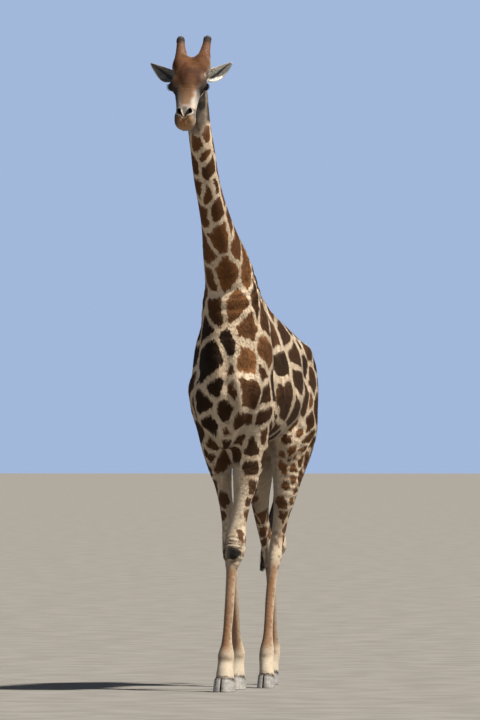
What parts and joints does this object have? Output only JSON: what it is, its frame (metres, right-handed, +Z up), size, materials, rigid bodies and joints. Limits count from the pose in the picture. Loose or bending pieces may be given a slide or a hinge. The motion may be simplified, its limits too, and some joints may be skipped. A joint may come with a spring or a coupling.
{
  "type": "giraffe",
  "caption": "Still life-size model of an adult bull giraffe walking slowly, head up, with patched coat, short horns, mane and tufted tail.",
  "frame": {"origin": "on the floor, under the middle of the box around the standing animal", "axes": "+Z up, the animal faces -Y, its left side is towards +X"},
  "size_m": [0.7224, 3.2852, 4.9684],
  "materials": {
    "coat": "short flat hair, brown patches on cream",
    "lower_leg": "short flat hair, cream to tan",
    "ossicone": "short hair with bare dark tips",
    "ear": "fine pale hair, grey within",
    "eye": "wet and glossy, nearly black",
    "hoof": "horn, dusty grey",
    "hair": "coarse dark hair"
  },
  "bodies": {
    "root": {"trunk": "coat", "foreleg_left_upper": "coat", "foreleg_left_lower": "lower_leg", "foreleg_left_toe_right": "hoof", "foreleg_left_toe_left": "hoof", "foreleg_right_upper": "coat", "foreleg_right_lower": "lower_leg", "foreleg_right_toe_right": "hoof", "foreleg_right_toe_left": "hoof", "hindleg_left_upper": "coat", "hindleg_left_lower": "lower_leg", "hindleg_left_toe_right": "hoof", "hindleg_left_toe_left": "hoof", "hindleg_right_upper": "coat", "hindleg_right_lower": "lower_leg", "hindleg_right_toe_right": "hoof", "hindleg_right_toe_left": "hoof", "ossicone_left": "ossicone", "ear_left": "ear", "ossicone_right": "ossicone", "ear_right": "ear", "eye_left": "eye", "eye_right": "eye", "head": "coat", "neck_upper": "coat", "neck_lower": "coat", "mane_lower": "hair", "mane_upper": "hair", "tail": "coat", "tail_tuft": "hair"}
  },
  "joints": []
}
